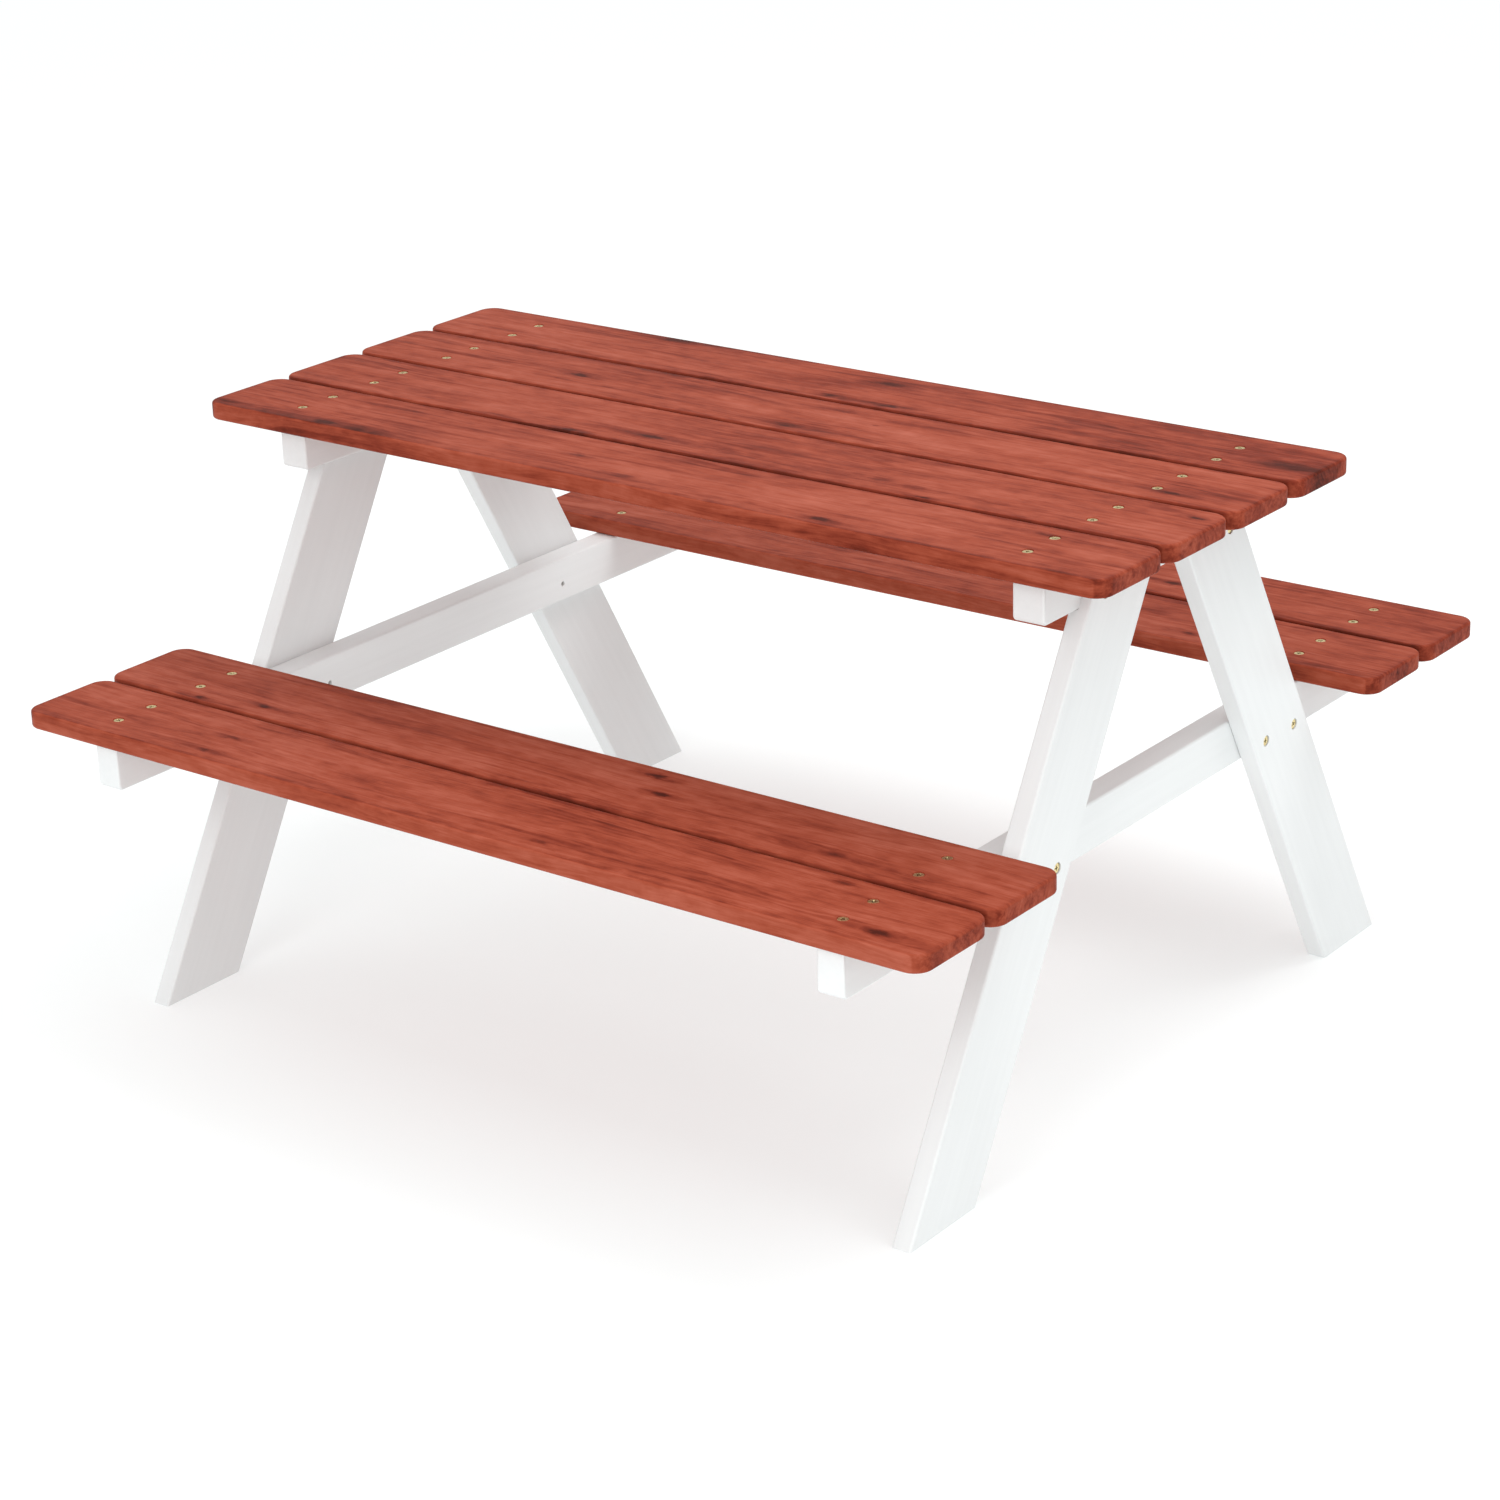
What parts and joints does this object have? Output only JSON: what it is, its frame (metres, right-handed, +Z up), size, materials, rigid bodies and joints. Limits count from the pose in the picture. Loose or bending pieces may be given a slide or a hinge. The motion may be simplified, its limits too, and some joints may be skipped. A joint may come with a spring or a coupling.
{
  "type": "picnic table",
  "caption": "Child-size picnic table: red-stained plank tabletop and benches with eased edges on white A-frames, joined by lapped cleats, seat beams and screws.",
  "frame": {"origin": "on the floor, under the centre of the tabletop", "axes": "+X along the planks towards the right-hand frame, +Y towards the rear bench, +Z up"},
  "size_m": [0.89, 0.838, 0.48],
  "materials": {
    "red_stained_wood": "translucent red-brown stain with a satin clear coat over softwood grain",
    "white_painted_wood": "opaque white satin paint on planed softwood",
    "plated_screw": "yellow zinc-plated steel, satin"
  },
  "bodies": {
    "root": {"tabletop_plank_front_outer": "red_stained_wood", "tabletop_plank_front_inner": "red_stained_wood", "tabletop_plank_rear_inner": "red_stained_wood", "tabletop_plank_rear_outer": "red_stained_wood", "front_bench_plank_inner": "red_stained_wood", "front_bench_plank_outer": "red_stained_wood", "rear_bench_plank_inner": "red_stained_wood", "rear_bench_plank_outer": "red_stained_wood", "left_cleat": "white_painted_wood", "right_cleat": "white_painted_wood", "left_seat_beam": "white_painted_wood", "right_seat_beam": "white_painted_wood", "left_front_leg": "white_painted_wood", "left_rear_leg": "white_painted_wood", "right_front_leg": "white_painted_wood", "right_rear_leg": "white_painted_wood", "left_tabletop_screws": "plated_screw", "right_tabletop_screws": "plated_screw", "left_front_bench_screws": "plated_screw", "left_rear_bench_screws": "plated_screw", "right_front_bench_screws": "plated_screw", "right_rear_bench_screws": "plated_screw", "left_front_beam_screws": "plated_screw", "left_front_cleat_screws": "plated_screw", "left_rear_beam_screws": "plated_screw", "left_rear_cleat_screws": "plated_screw", "right_front_beam_screws": "plated_screw", "right_front_cleat_screws": "plated_screw", "right_rear_beam_screws": "plated_screw", "right_rear_cleat_screws": "plated_screw"}
  },
  "joints": []
}
